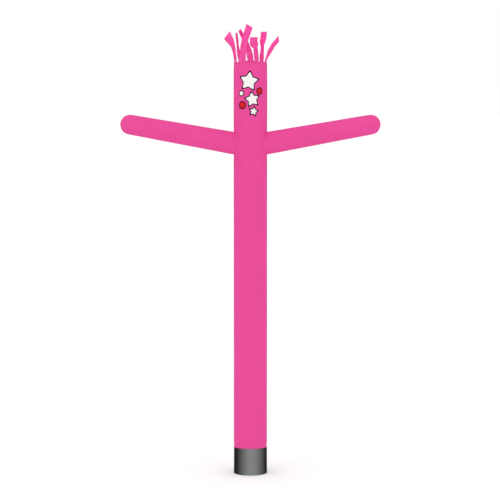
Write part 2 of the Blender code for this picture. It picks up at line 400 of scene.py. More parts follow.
def coated_cloth():
    """Black coated cloth: a coarse weave under a skin that shines softly, dusty at its foot."""
    cloth, tree = new_cloth("coated_charcoal_cloth")
    threads = weave(tree, COATED_THREAD_PITCH)
    where = wire(tree, "ShaderNodeTexCoord").outputs["Object"]
    height = wire(tree, "ShaderNodeSeparateXYZ", {0: where}).outputs["Z"]
    dust = spread(tree, height, DUST_SHARE, 1.0, 0.0, DUST_HEIGHT)
    dust = calc(tree, "POWER", dust, patchy(tree, 0.02, 0.0, 1.0, detail=6.0))
    # The weave's tone is painted shade and highlight: darker in the dips between threads, lighter on
    # their crowns.
    woven = spread(tree, threads, *COATED_WEAVE_SHADE)
    tone = calc(tree, "MULTIPLY", patchy(tree, 0.09, *COATED_TONES), woven)
    tone = calc(tree, "MULTIPLY", tone, dust)
    finish_cloth(
        tree, dyed(tree, CHARCOAL, tone), patchy(tree, 0.05, *COATED_ROUGHNESS), threads,
        COATED_WEAVE_DEPTH, {"Specular IOR Level": 0.5},
    )
    return cloth


def sewing_thread(name, colour):
    """Spun thread: its colour varies a little from stitch to stitch."""
    thread, tree = new_cloth(name)
    tone = patchy(tree, 0.012, *THREAD_TONES)
    finish_cloth(
        tree, dyed(tree, colour, tone), patchy(tree, 0.02, *THREAD_ROUGHNESS),
        patchy(tree, THREAD_FIBRE, 0.0, 1.0), THREAD_FIBRE_DEPTH, {"Specular IOR Level": 0.3},
    )
    return thread


def radial(turn):
    """The way out from the tube's axis, turned from the face side towards +X."""
    return Vector((math.sin(turn), -math.cos(turn), 0))


def cuff_top(turn):
    """The height of the cuff's top, which leans: highest in front and lowest at the back."""
    return CUFF_SIDE_Z + CUFF_LEAN * math.cos(turn)


def cuff_point(across, z, lift=0.0):
    """A place on the cuff's outer face, at its height on a cuff whose top is level."""
    turn = across / TUBE_RADIUS
    out = radial(turn)
    place = SWELL_SCALE * Vector((out.x, out.y, SWELL_RISE * z))
    swell = CUFF_SWELL * (0.5 + noise.noise(place))
    lean = (cuff_top(turn) - CUFF_SIDE_Z) * max(0.0, z - HEM_HEIGHT) / (CUFF_SIDE_Z - HEM_HEIGHT)
    return out * (TUBE_RADIUS + swell + lift) + Vector((0, 0, z + lean))


def cuff_section():
    """(lift, height) round the band's section: up the outer face and down the inner one."""
    top_fold, foot_fold = CUFF_THICK / 2, (CUFF_THICK + HEM_EXTRA) / 2
    section = [(HEM_EXTRA, z) for z in stretch(foot_fold, HEM_HEIGHT, CUFF_ROW)]
    section += [(HEM_EXTRA, HEM_HEIGHT - HEM_STEP), (0.0, HEM_HEIGHT)]
    section += [(0.0, z) for z in stretch(HEM_HEIGHT, CUFF_SIDE_Z - top_fold, CUFF_ROW)[1:]]
    for step in range(FOLD_TURNS + 1):
        turn = math.pi * step / FOLD_TURNS
        lift = top_fold * (math.cos(turn) - 1)
        section.append((lift, CUFF_SIDE_Z - top_fold + top_fold * math.sin(turn)))
    inner = stretch(foot_fold, CUFF_SIDE_Z - top_fold, CUFF_ROW)
    section += [(-CUFF_THICK, z) for z in reversed(inner)]
    for step in range(1, FOLD_TURNS):
        turn = math.pi * (1 + step / FOLD_TURNS)
        lift = foot_fold * (1 + math.cos(turn)) - CUFF_THICK
        section.append((lift, foot_fold + foot_fold * math.sin(turn)))
    return section


def round_path(at, z, lift):
    """A path round the tube at one height, for stitches."""
    return [(at(turn * TUBE_RADIUS, z, lift), radial(turn)) for turn in turns_round(TUBE_RADIUS)]


def make_cuff():
    coated = coated_cloth()
    thread = sewing_thread("charcoal_thread", CHARCOAL_THREAD)
    section = cuff_section()
    acrosses = stretch(-BACK, BACK, TUBE_GIRTH / CUFF_COLUMNS)
    points = [cuff_point(across, z, lift) for lift, z in section for across in acrosses]
    flat = [(across, z if lift > -CUFF_THICK else -z) for lift, z in section for across in acrosses]
    faces = list(woven_faces(len(section), len(acrosses), ring=True, loop=True))
    band = cloth_object("cuff_band", points, flat, faces, coated, TUBE_GIRTH)
    fix(
        band, "charcoal_cloth", "base_cuff", flat=(TUBE_GIRTH, CUFF_SIDE_Z + HEM_HEIGHT),
        rests_on=["floor"],
    )

    def lap_point(run, offset, lift):
        step = HEM_EXTRA if run < HEM_HEIGHT else 0.0
        return cuff_point(BACK + offset, run, lift + step)

    runs = stretch_to(LAP_ENDS[0], CUFF_SIDE_Z - LAP_ENDS[1], CUFF_ROW)
    lap = seam_strip("cuff_back_lap", lap_point, runs, LAP_HALF, LAP_THICK, coated)
    fix(lap, "charcoal_cloth", flat=(2 * LAP_HALF, CUFF_SIDE_Z), rests_on=[band])
    paths = [round_path(cuff_point, CUFF_SIDE_Z - drop, 0.0) for drop in CUFF_TOP_SEAMS]
    paths.append(round_path(cuff_point, HEM_HEIGHT - HEM_SEAM_DROP, HEM_EXTRA))
    for side in (-1, 1):
        offset = side * (LAP_HALF - LAP_SEAM_INSET)
        paths.append([(lap_point(run, offset, LAP_THICK), radial(math.pi)) for run in runs])
    sew("cuff_stitches", paths, thread, "charcoal_cloth")


make_cuff()


# The body tube is one width of thin ripstop nylon, closed by a folded seam down the back, with
# a hole for each arm. Air holds it round. Its cloth puckers where a seam or the cuff grips it.
FOOT_Z, RIM_Z = (corner.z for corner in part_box("body_tube"))
RIM_TUCK = 0.004
RIM_TUCK_REACH = 0.045
CUFF_TUCK = 0.0033
CUFF_TUCK_REACH = 0.06
NYLON_THICK = 0.0006
TUBE_COLUMN = 0.0125
ARM_AXIS_Z = 4.506
ARM_TILT = math.radians(10.1)
ARM_TIP_CENTRE = 1.663
ARM_ROOT_RADIUS = 0.152
ARM_TIP_RADIUS = 0.134
ARMHOLE_BLOCK_Z = (4.358, 4.738)
ARMHOLE_BLOCK_HALF = 0.200
TUBE_ROWS = (
    # from_z, row height
    (FOOT_Z, 0.0125),
    (CUFF_TOP_Z, 0.008),
    (0.46, 0.020),
    (3.88, 0.012),
    (ARMHOLE_BLOCK_Z[0], 0.008),
    (ARMHOLE_BLOCK_Z[1], 0.012),
    (5.05, 0.020),
    (RIM_Z - 0.12, 0.006),
)
ARMHOLE_SHARES = (0.0, 0.06, 0.14, 0.25, 0.38, 0.53, 0.68, 0.84)
PUCKER_REACH = 0.016
RIM_PUCKER = 0.0032
RIM_PUCKERS = 38
CUFF_PUCKER = 0.0028
CUFF_PUCKERS = 34
BACK_PUCKER = 0.0030
BACK_PUCKER_PITCH = 0.055
ARMHOLE_PUCKER = 0.0040
ARMHOLE_PUCKERS = 32
ARMHOLE_GROOVE = 0.0018
ARMHOLE_GROOVE_REACH = 0.005
ARMHOLE_BITE = 0.0005
FOLD_TIE_REACH = 0.022
AIR_WAVER = 0.0012
AIR_WAVER_ROUND = 4
AIR_WAVER_RISE = 1.6
SEAM_FITTINGS = 4
SEAM_ROW = 0.008
SEAM_STITCH_ROWS = (-0.7, 0.7)
BACK_SEAM_HALF = 0.0065
BACK_SEAM_THICK = 0.0010
BACK_SEAM_GAP = 0.001
BACK_SEAM_COLUMN = 0.6
TUBE_TOPSTITCH = 0.007
PINK = (225, 74, 148)
PINK_THREAD = (214, 62, 136)
NYLON_THREAD_PITCH = 0.0006
NYLON_WEAVE_DEPTH = 0.00012
RIPSTOP_PITCH = 0.0055
RIPSTOP_LINE = 0.00050
RIPSTOP_WEAVE_SHARE = 0.4
SLUB_SCALE = (260.0, 6.0, 1.0)
NYLON_TONES = (0.985, 1.015)
NYLON_SLUB_TONES = (0.965, 1.035)
# Painted weave shade and highlight: the tone from the dips between threads to their crowns.
NYLON_WEAVE_SHADE = (0.94, 1.03)
RIPSTOP_TONES = (1.02, 0.90)
NYLON_ROUGHNESS = (0.56, 0.64)

# Each row is one fold: from (degrees round the tube, height) to (degrees, height), its depth
# and half its width. Degrees count from the face side towards +X.
TUBE_FOLDS = (
    # from_deg, from_z, to_deg, to_z, depth, half_width
    (60, 4.41, 18, 4.07, 0.0070, 0.034),
    (73, 4.38, 52, 3.97, 0.0050, 0.030),
    (57, 4.66, 24, 4.91, 0.0060, 0.034),
    (-59, 4.40, -22, 4.13, 0.0065, 0.034),
    (-74, 4.38, -58, 4.02, 0.0050, 0.030),
    (-56, 4.64, -30, 4.96, 0.0055, 0.034),
    (119, 4.40, 156, 4.10, 0.0065, 0.034),
    (124, 4.65, 150, 4.88, 0.0055, 0.034),
    (-121, 4.41, -160, 4.04, 0.0070, 0.034),
    (-123, 4.65, -154, 4.92, 0.0055, 0.034),
)


def ripstop_nylon(name, colour, even):
    """Thin nylon with a grid of thicker threads, dyed through, with a soft sheen."""
    cloth, tree = new_cloth(name)
    threads = weave(tree, NYLON_THREAD_PITCH)
    place = wire(tree, "ShaderNodeUVMap", uv_map=CLOTH_MAP).outputs["UV"]
    sides = wire(tree, "ShaderNodeSeparateXYZ", {0: place})
    lines = []
    for side in ("X", "Y"):
        near = calc(tree, "PINGPONG", sides.outputs[side], RIPSTOP_PITCH / 2)
        lines.append(spread(tree, near, 1.0, 0.0, 0.0, RIPSTOP_LINE))
    line = calc(tree, "MAXIMUM", *lines)
    height = calc(tree, "ADD", calc(tree, "MULTIPLY", threads, RIPSTOP_WEAVE_SHARE), line)
    drawn = wire(
        tree, "ShaderNodeMapping", {"Vector": place, "Scale": SLUB_SCALE}, vector_type="POINT"
    )
    slub = wire(tree, "ShaderNodeTexNoise", {"Vector": drawn.outputs["Vector"], "Scale": 1.0})
    tone = calc(
        tree, "MULTIPLY", patchy(tree, 0.35, *NYLON_TONES),
        spread(tree, slub.outputs["Fac"], *NYLON_SLUB_TONES, *CLOUD_SPAN),
    )
    # The weave's tone is painted shade and highlight: darker in the dips between threads, lighter on
    # their crowns.
    tone = calc(tree, "MULTIPLY", tone, spread(tree, threads, *NYLON_WEAVE_SHADE))
    tone = calc(tree, "MULTIPLY", tone, spread(tree, line, *RIPSTOP_TONES))
    finish_cloth(
        tree, dyed(tree, colour, tone), patchy(tree, 0.2, *NYLON_ROUGHNESS), height,
        NYLON_WEAVE_DEPTH, even,
    )
    return cloth


def fold_lines(rows, radius):
    """The fold rows with their degrees turned into distances round a sleeve."""
    return [
        (
            Vector((radius * math.radians(from_deg), from_along)),
            Vector((radius * math.radians(to_deg), to_along)),
            depth,
            half_width,
        )
        for from_deg, from_along, to_deg, to_along, depth, half_width in rows
    ]


def fade(away, reach):
    """From 1 down to 0 as the distance away passes the reach."""
    return math.exp(-((away / reach) ** 2))


def heap(reach):
    """Rises from 0 to 1 as the reach goes from 0 to 1, and dies away beyond."""
    return reach * math.exp(1 - reach)


def fold_depth(folds, across, along, girth):
    """How far the folds draw the cloth in at a place on the unrolled sleeve."""
    total = 0.0
    for start, end, depth, half_width in folds:
        near = across + girth * round((start.x - across) / girth)
        place, run = Vector((near, along)), end - start
        share = max(0.0, min(1.0, (place - start).dot(run) / run.length_squared))
        away = (place - start - share * run).length
        total += depth * (1 - share**2) * fade(away, half_width)
    return total


def ring_wave(turn, count, row=0.0):
    """An uneven wave from about 0 to 1 round a ring, with about so many crests."""
    reach = count / math.pi
    place = Vector((reach * math.cos(turn), reach * math.sin(turn), row))
    return 0.5 + noise.noise(place)


def run_wave(run, pitch, row=0.0):
    """The same along a straight seam, with a crest about every pitch."""
    return 0.5 + noise.noise(Vector((2 * run / pitch, row, 0.0)))


def pucker(wave, away, depth):
    """How far a seam's pull draws the cloth in: nothing at the seam, most a finger off it."""
    return depth * wave * heap(abs(away) / PUCKER_REACH)


def tube_radius(z):
    """The blown-up radius: drawn in a little at the rim's seam, and to fit inside the cuff."""
    rim = RIM_TUCK * math.exp(-(RIM_Z - z) / RIM_TUCK_REACH)
    cuff = CUFF_TUCK * math.exp(-max(0.0, z - CUFF_TOP_Z) / CUFF_TUCK_REACH)
    return TUBE_RADIUS - rim - cuff


def arm_radius(along):
    """The arm's radius at a distance along its axis, narrowing evenly to the tip."""
    share = (along - TUBE_RADIUS) / (ARM_TIP_CENTRE - TUBE_RADIUS)
    return ARM_ROOT_RADIUS + share * (ARM_TIP_RADIUS - ARM_ROOT_RADIUS)


def shoulder(turn):
    """An arm's own frame: its axis is +X, and it starts on the tube's axis."""
    tilt = Matrix.Rotation(turn, 4, "Z") @ Matrix.Rotation(-ARM_TILT, 4, "Y")
    return Matrix.Translation((0, 0, ARM_AXIS_Z)) @ tilt


SHOULDERS = {"arm_right": shoulder(0.0), "arm_left": shoulder(math.pi)}
TO_ARM = {name: place.inverted() for name, place in SHOULDERS.items()}
TUBE_FOLD_LINES = fold_lines(TUBE_FOLDS, TUBE_RADIUS)


def armhole_pull(name, point):
    """The pucker and groove that an armhole's seam makes, and its share of holding cloth flat."""
    x, y, z = TO_ARM[name] @ point
    if x < 0:
        return 0.0, 0.0
    off = max(0.0, math.hypot(y, z) - arm_radius(x))
    wave = ring_wave(math.atan2(y, -z), ARMHOLE_PUCKERS, row=x)
    groove = ARMHOLE_GROOVE * fade(off, ARMHOLE_GROOVE_REACH)
    return pucker(wave, off, ARMHOLE_PUCKER) + groove, fade(off, FOLD_TIE_REACH)


def tube_draw(across, z, point):
    """How far the tube's cloth is drawn in from its plain round."""
    turn = across / TUBE_RADIUS
    place = Vector((AIR_WAVER_ROUND * point.x, AIR_WAVER_ROUND * point.y, AIR_WAVER_RISE * z))
    loose = AIR_WAVER * noise.noise(place)
    loose += pucker(run_wave(z, BACK_PUCKER_PITCH), BACK - abs(across), BACK_PUCKER)
    total = pucker(ring_wave(turn, RIM_PUCKERS), RIM_Z - z, RIM_PUCKER)
    total += pucker(ring_wave(turn, CUFF_PUCKERS), z - cuff_top(turn), CUFF_PUCKER)
    folds = fold_depth(TUBE_FOLD_LINES, across, z, TUBE_GIRTH)
    for name in SHOULDERS:
        pull, held = armhole_pull(name, point)
        total += pull
        folds *= 1 - held
    return total + (loose + folds) * (1 - fade(RIM_Z - z, FOLD_TIE_REACH))


def tube_point(across, z, lift=0.0):
    """A place on the tube's outer face, at a distance round from the face side and a height."""
    out = radial(across / TUBE_RADIUS)
    plain = out * tube_radius(z) + Vector((0, 0, z))
    return plain + out * (lift - tube_draw(across, z, plain))


def seam_along(turn):
    """How far along the arm's axis its seam with the tube lies, round from its underside."""
    along = TUBE_RADIUS
    for _ in range(SEAM_FITTINGS):
        side = arm_radius(along) * math.sin(turn)
        rise = arm_radius(along) * math.cos(turn) * math.sin(ARM_TILT)
        along = (math.sqrt(TUBE_RADIUS**2 - side**2) - rise) / math.cos(ARM_TILT)
    return along


def armhole_edge(name, turn):
    """The armhole's edge on the unrolled tube, round from the arm's underside.

    It bites a little into the arm's cloth, so that the seam is closed."""
    along = seam_along(turn)
    radius = arm_radius(along) - ARMHOLE_BITE
    edge = Vector((along, radius * math.sin(turn), -radius * math.cos(turn)))
    x, y, z = SHOULDERS[name] @ edge
    return Vector((TUBE_RADIUS * math.atan2(x, -y), z))


def tube_rows():
    ends = [start for start, _ in TUBE_ROWS[1:]] + [RIM_Z]
    rows = [z for (start, step), end in zip(TUBE_ROWS, ends) for z in stretch(start, end, step)]
    return rows + [RIM_Z]


def tube_columns():
    """Distances round from the face side, with a column at each edge of the armhole blocks."""
    low, high = BACK / 2 - ARMHOLE_BLOCK_HALF, BACK / 2 + ARMHOLE_BLOCK_HALF
    half = [
        *stretch(0.0, low, TUBE_COLUMN),
        *stretch(low, high, TUBE_COLUMN),
        *stretch_to(high, BACK - 2 * BACK_SEAM_HALF, TUBE_COLUMN),
        BACK - BACK_SEAM_COLUMN * BACK_SEAM_HALF,
        BACK,
    ]
    return [-across for across in reversed(half[1:-1])] + half


def nearest(values, wanted):
    """The place of the nearest of some values."""
    return min(range(len(values)), key=lambda i: abs(values[i] - wanted))


def block_border(rows, columns, middle):
    """The grid places round an armhole's block, anticlockwise from outside, and its cells."""
    left, right = (nearest(columns, middle + side * ARMHOLE_BLOCK_HALF) for side in (-1, 1))
    low, high = (nearest(rows, z) for z in ARMHOLE_BLOCK_Z)
    border = [(low, j) for j in range(left, right)] + [(i, right) for i in range(low, high)]
    border += [(high, j) for j in range(right, left, -1)]
    border += [(i, left) for i in range(high, low, -1)]
    cells = {(i, j) for i in range(low, high) for j in range(left, right)}
    return border, cells


def make_tube(nylon):
    """The sleeve as a grid, whose cells round each armhole make way for rings round its edge."""
    rows, columns = tube_rows(), tube_columns()
    wide = len(columns)
    flat = [(across, z) for z in rows for across in columns]
    faces = list(woven_faces(len(rows), wide, ring=True))
    for name, middle in (("arm_right", BACK / 2), ("arm_left", -BACK / 2)):
        border, cells = block_border(rows, columns, middle)
        taken = {i * wide + j for i, j in cells}
        faces = [face for face in faces if face[0] not in taken]
        outer = [i * wide + j for i, j in border]
        centre = (armhole_edge(name, 0.0) + armhole_edge(name, math.pi)) / 2
        rings = []
        for share in ARMHOLE_SHARES:
            rings.append([])
            for index in outer:
                way = Vector(flat[index]) - centre
                edge = armhole_edge(name, math.atan2(way.x, -way.y))
                rings[-1].append(len(flat))
                flat.append(tuple(edge.lerp(Vector(flat[index]), share)))
        rings.append(outer)
        count = len(outer)
        for inner, ring in zip(rings, rings[1:]):
            for j in range(count):
                k = (j + 1) % count
                faces.append([inner[j], ring[j], ring[k], inner[k]])
    points = [tube_point(across, z) for across, z in flat]
    tube = cloth_object("tube_cloth", points, flat, faces, nylon, TUBE_GIRTH, NYLON_THICK)
    fix(
        tube, "pink_cloth", "body_tube", flat=(TUBE_GIRTH, RIM_Z - FOOT_Z),
        rests_on=["cuff_band"],
    )
    return tube


def make_tube_seams(tube, nylon, thread):
    def back_point(run, offset, lift):
        return tube_point(BACK + offset if offset <= 0 else offset - BACK, run, lift)

    low, high = cuff_top(math.pi) + BACK_SEAM_GAP, RIM_Z - BACK_SEAM_GAP
    runs = stretch_to(low, high, SEAM_ROW)
    strip = seam_strip(
        "tube_back_seam", back_point, runs, BACK_SEAM_HALF, BACK_SEAM_THICK, nylon
    )
    fix(strip, "pink_cloth", flat=(2 * BACK_SEAM_HALF, high - low), rests_on=[tube])
    paths = [
        [(back_point(run, share * BACK_SEAM_HALF, BACK_SEAM_THICK), radial(math.pi)) for run in runs]
        for share in SEAM_STITCH_ROWS
    ]
    paths.append(round_path(tube_point, RIM_Z - TUBE_TOPSTITCH, 0.0))
    for name in SHOULDERS:
        centre = (armhole_edge(name, 0.0) + armhole_edge(name, math.pi)) / 2
        path = []
        for turn in turns_round(ARM_ROOT_RADIUS):
            edge = armhole_edge(name, turn)
            across, z = edge + (edge - centre).normalized() * TUBE_TOPSTITCH
            path.append((tube_point(across, z), radial(across / TUBE_RADIUS)))
        paths.append(path)
    sew("tube_stitches", paths, thread, "pink_cloth")


PINK_SHEEN = {
    "Specular IOR Level": 0.06, "Sheen Weight": 0.03, "Sheen Roughness": 0.4,
    "Sheen Tint": light_colour(PINK),
}
pink_nylon = ripstop_nylon("pink_ripstop_nylon", PINK, PINK_SHEEN)
pink_thread = sewing_thread("pink_thread", PINK_THREAD)
body = make_tube(pink_nylon)
make_tube_seams(body, pink_nylon, pink_thread)


# The arms are narrowing sleeves of the same nylon with round closed ends. Each is sewn into its
# armhole, and its one seam runs along the underside and over the tip, where the cloth gathers.
ARM_COLUMNS = 96
ARM_ROW = 0.010
ARM_GIRTH = 2 * math.pi * ARM_ROOT_RADIUS
ARM_SEAM_ALLOWANCE = 0.012
ARM_INSIDE_SHARES = (1.0, 0.5, 0.15)
ARM_ROOT_REACH = 0.24
ARM_ROOT_CLOSE = 0.020
ARM_ROOT_ROWS = (0.004, 0.008)
ARM_STRAIGHT_FROM = 0.45
ARM_QUARTER = ARM_TIP_RADIUS * math.pi / 2
ARM_POLE = ARM_TIP_CENTRE + ARM_QUARTER
ARM_POLE_HOLE = 0.003
ARM_PUCKER = 0.0034
ARM_SEAM_PUCKER = 0.0030
ARM_SEAM_PUCKER_PITCH = 0.060
TIP_GATHER = 0.0055
TIP_GATHERS = 22
TIP_GATHER_REACH = 0.035
TIP_SEAM_RUN = 0.110
ARM_SEAM_HALF = 0.0060
ARM_SEAM_THICK = 0.0010
ARM_SEAM_GAP = 0.002
ARM_TOPSTITCH = 0.007
ARM_FLAT_AREA = 1.44

# Degrees count round the arm from its underside, and distances along its axis.
ARM_FOLDS = {
    "arm_right": (
        # from_deg, from_along, to_deg, to_along, depth, half_width
        (-38, 0.25, -20, 0.58, 0.0045, 0.030),
        (30, 0.25, 12, 0.66, 0.0050, 0.032),
        (165, 0.25, 172, 0.52, 0.0040, 0.030),
    ),
    "arm_left": (
        (-28, 0.25, -8, 0.62, 0.0050, 0.032),
        (42, 0.25, 24, 0.55, 0.0045, 0.030),
        (-160, 0.25, -168, 0.56, 0.0040, 0.030),
    ),
}
ARM_FOLD_LINES = {name: fold_lines(rows, ARM_ROOT_RADIUS) for name, rows in ARM_FOLDS.items()}


def arm_draw(name, turn, along, plain):
    """How far an arm's cloth is drawn in from its plain round."""
    off = along - seam_along(turn)
    loose = AIR_WAVER * noise.noise(plain * AIR_WAVER_ROUND)
    away = arm_radius(along) * abs(turn)
    loose += pucker(run_wave(along, ARM_SEAM_PUCKER_PITCH, plain.x), away, ARM_SEAM_PUCKER)
    loose += fold_depth(ARM_FOLD_LINES[name], ARM_ROOT_RADIUS * turn, along, ARM_GIRTH)
    root = pucker(ring_wave(turn, ARMHOLE_PUCKERS, row=plain.x), off, ARM_PUCKER)
    near_tip = heap(max(0.0, ARM_POLE - along) / TIP_GATHER_REACH)
    tip = TIP_GATHER * ring_wave(turn, TIP_GATHERS) * near_tip
    return loose * (1 - fade(off, FOLD_TIE_REACH)) + root + tip


def arm_out(name, turn, along):
    """The way out of an arm's cloth, round from the underside and along to the tip's pole."""
    bend = min(max(0.0, along - ARM_TIP_CENTRE) / ARM_TIP_RADIUS, math.pi / 2)
    round_way = Vector((0, math.sin(turn), -math.cos(turn))) * math.cos(bend)
    return SHOULDERS[name].to_3x3() @ (round_way + Vector((math.sin(bend), 0, 0)))


def arm_point(name, turn, along, lift=0.0):
    """A place on an arm's outer face. Past the pole, the run comes back on the other side."""
    if along > ARM_POLE:
        turn, along = turn + math.pi, 2 * ARM_POLE - along
    axis = min(along, ARM_TIP_CENTRE)
    out = arm_out(name, turn, along)
    plain = SHOULDERS[name] @ Vector((axis, 0, 0)) + out * arm_radius(axis)
    around = math.remainder(turn, 2 * math.pi)
    return plain + out * (lift - arm_draw(name, around, along, plain))


def arm_stations(turn):
    """Distances along the arm from its seam allowance, inside the tube, to near the pole."""
    seam = seam_along(turn)
    span = ARM_STRAIGHT_FROM - seam
    inside = [seam - ARM_SEAM_ALLOWANCE * share for share in ARM_INSIDE_SHARES]
    close_row, row = ARM_ROOT_ROWS
    offs = stretch(0.0, ARM_ROOT_CLOSE, close_row)
    offs += stretch(ARM_ROOT_CLOSE, ARM_ROOT_REACH, row)
    root = [seam + span * off / ARM_ROOT_REACH for off in offs]
    straight = stretch(ARM_STRAIGHT_FROM, ARM_TIP_CENTRE, ARM_ROW)
    tip = stretch_to(ARM_TIP_CENTRE, ARM_POLE - ARM_POLE_HOLE, ARM_ROW)
    return inside + root + straight + tip


def make_arm(name, nylon, thread):
    turns = stretch(-math.pi, math.pi, 2 * math.pi / ARM_COLUMNS)
    columns = [arm_stations(turn) for turn in turns]
    tall, wide = len(columns[0]), len(turns)
    flat = [
        (ARM_ROOT_RADIUS * turn, column[i])
        for i in range(tall) for turn, column in zip(turns, columns)
    ]
    points = [arm_point(name, across / ARM_ROOT_RADIUS, along) for across, along in flat]
    faces = [face[::-1] for face in woven_faces(tall, wide, ring=True)]
    points.append(arm_point(name, 0.0, ARM_POLE))
    flat.append((0.0, ARM_POLE))
    last, pole = (tall - 1) * wide, tall * wide
    faces += [[last + (j + 1) % wide, last + j, pole] for j in range(wide)]
    sleeve = cloth_object(
        name + "_cloth", points, flat, faces, nylon, ARM_GIRTH, NYLON_THICK
    )
    fix(
        sleeve, "pink_cloth", name, flat=(ARM_GIRTH, ARM_POLE - seam_along(math.pi / 2)),
        area=ARM_FLAT_AREA, rests_on=["tube_cloth"],
    )

    def seam_point(run, offset, lift):
        radius = arm_radius(min(run, ARM_TIP_CENTRE))
        if run <= ARM_TIP_CENTRE:
            return arm_point(name, offset / radius, run, lift)
        ahead = (run - ARM_TIP_CENTRE) / ARM_TIP_RADIUS
        way = Vector((math.sin(ahead), 0, -math.cos(ahead))) * math.cos(offset / radius)
        way.y = math.sin(offset / radius)
        turn = math.atan2(way.y, -way.z)
        along = ARM_TIP_CENTRE + ARM_TIP_RADIUS * math.asin(min(1.0, way.x))
        return arm_point(name, turn, along, lift)

    first, end = seam_along(0.0) + ARM_SEAM_GAP, ARM_POLE + TIP_SEAM_RUN
    runs = stretch_to(first, end, SEAM_ROW)
    strip = seam_strip(
        name + "_seam", seam_point, runs, ARM_SEAM_HALF, ARM_SEAM_THICK, nylon, mirrored=True
    )
    fix(strip, "pink_cloth", flat=(2 * ARM_SEAM_HALF, end - first), rests_on=[sleeve])
    arm_turn = SHOULDERS[name].to_3x3()
    paths = []
    for share in SEAM_STITCH_ROWS:
        path = []
        for run in runs:
            ahead = max(0.0, run - ARM_TIP_CENTRE) / ARM_TIP_RADIUS
            out = arm_turn @ Vector((math.sin(ahead), 0, -math.cos(ahead)))
            path.append((seam_point(run, share * ARM_SEAM_HALF, ARM_SEAM_THICK), out))
        paths.append(path)
    ring = []
    for turn in turns_round(ARM_ROOT_RADIUS):
        along = seam_along(turn) + ARM_TOPSTITCH
        ring.append((arm_point(name, turn, along), arm_out(name, turn, along)))
    sew(name + "_stitches", [*paths, ring], thread, "pink_cloth")


for arm in SHOULDERS:
    make_arm(arm, pink_nylon, pink_thread)


# The head is closed by a round panel, its edge turned down and sewn inside the rim. The air
# domes it, and the fullness of its edge runs into small pleats at the seam.
CAP_FLANGE = 0.020
CAP_FLANGE_ROWS = (1.0, 0.6, 0.25)
CAP_INSET = 0.0013
CAP_DROP = 0.002
CAP_CROWN = 0.045
CAP_COLUMNS = 140
CAP_RINGS = 26
CAP_PLEAT = 0.0028
CAP_PLEATS = 34
CAP_PLEAT_REACH = 0.12
CAP_FLAT = 0.49
CAP_FLAT_AREA = 0.19


def cap_point(turn, share):
    """A place on the dome, from its edge (0) to its middle (1)."""
    radius = (tube_radius(RIM_Z) - CAP_INSET) * (1 - share)
    rise = CAP_CROWN * (1 - (1 - share) ** 2)
    rise -= CAP_PLEAT * ring_wave(turn, CAP_PLEATS) * heap(share / CAP_PLEAT_REACH)
    return radial(turn) * radius + Vector((0, 0, RIM_Z - CAP_DROP + rise))


def make_cap(nylon):
    turns = stretch(-math.pi, math.pi, 2 * math.pi / CAP_COLUMNS)
    points, flat = [], []
    for share in CAP_FLANGE_ROWS:
        z = RIM_Z - share * CAP_FLANGE
        for turn in turns:
            points.append(tube_point(turn * TUBE_RADIUS, z, -CAP_INSET))
            away = TUBE_RADIUS + RIM_Z - z
            flat.append((away * math.sin(turn), away * math.cos(turn)))
    for ring in range(CAP_RINGS):
        share = ring / CAP_RINGS
        for turn in turns:
            points.append(cap_point(turn, share))
            away = TUBE_RADIUS * (1 - share)
            flat.append((away * math.sin(turn), away * math.cos(turn)))
    tall, wide = CAP_RINGS + len(CAP_FLANGE_ROWS), CAP_COLUMNS
    faces = list(woven_faces(tall, wide, ring=True))
    points.append(cap_point(0.0, 1.0))
    flat.append((0.0, 0.0))
    last, middle = (tall - 1) * wide, tall * wide
    faces += [[last + j, last + (j + 1) % wide, middle] for j in range(wide)]
    cap = cloth_object("head_panel", points, flat, faces, nylon, thickness=NYLON_THICK)
    fix(
        cap, "pink_cloth", "head_cap", flat=(CAP_FLAT, CAP_FLAT), area=CAP_FLAT_AREA,
        rests_on=["tube_cloth"],
    )


make_cap(pink_nylon)


# The hair is seven flat ribbons of the nylon, cut across at their ends. Their roots are pleated
# into a narrow folded band, sewn round the rim, and the wind lifts them. Light passes through
# their single layer.
BAND_LOW = RIM_Z + 0.0003
BAND_HEIGHT = 0.018
BAND_THICK = 0.003
BAND_COLUMNS = 200
BAND_TOPSTITCHES = (0.004, 0.014)
ROOT_RISE = 0.3 * BAND_HEIGHT
RIBBON_WIDTH = 0.118
RIBBON_SPREAD_AT = 0.45
RIBBON_SLACK = 1.03
RIBBON_END_CUT = 8
CURVE_STEP = 0.01
RIBBON_ROWS = 60
RIBBON_COLUMNS = 20
RIBBON_CURL = 0.006
RIBBON_CURL_LEVEL = 0.4
RIBBON_CURL_TURN = 2.3
RIBBON_FLUTTER = 0.005
RIBBON_FLUTTER_PITCH = 0.16
RIBBON_FLUTTER_ACROSS = 0.6
ROOT_PLEAT = 0.0045
ROOT_PLEAT_FADE = 1.5
ROOT_PLEATS = 3.5
ROOT_PLEAT_START = 0.020
ROOT_FREE_AT = 0.3
LIT_PINK = (217, 71, 141)
LIT_CLOTH_RADIUS = (1.0, 0.6, 0.8)
LIT_CLOTH_SCALE = 0.004

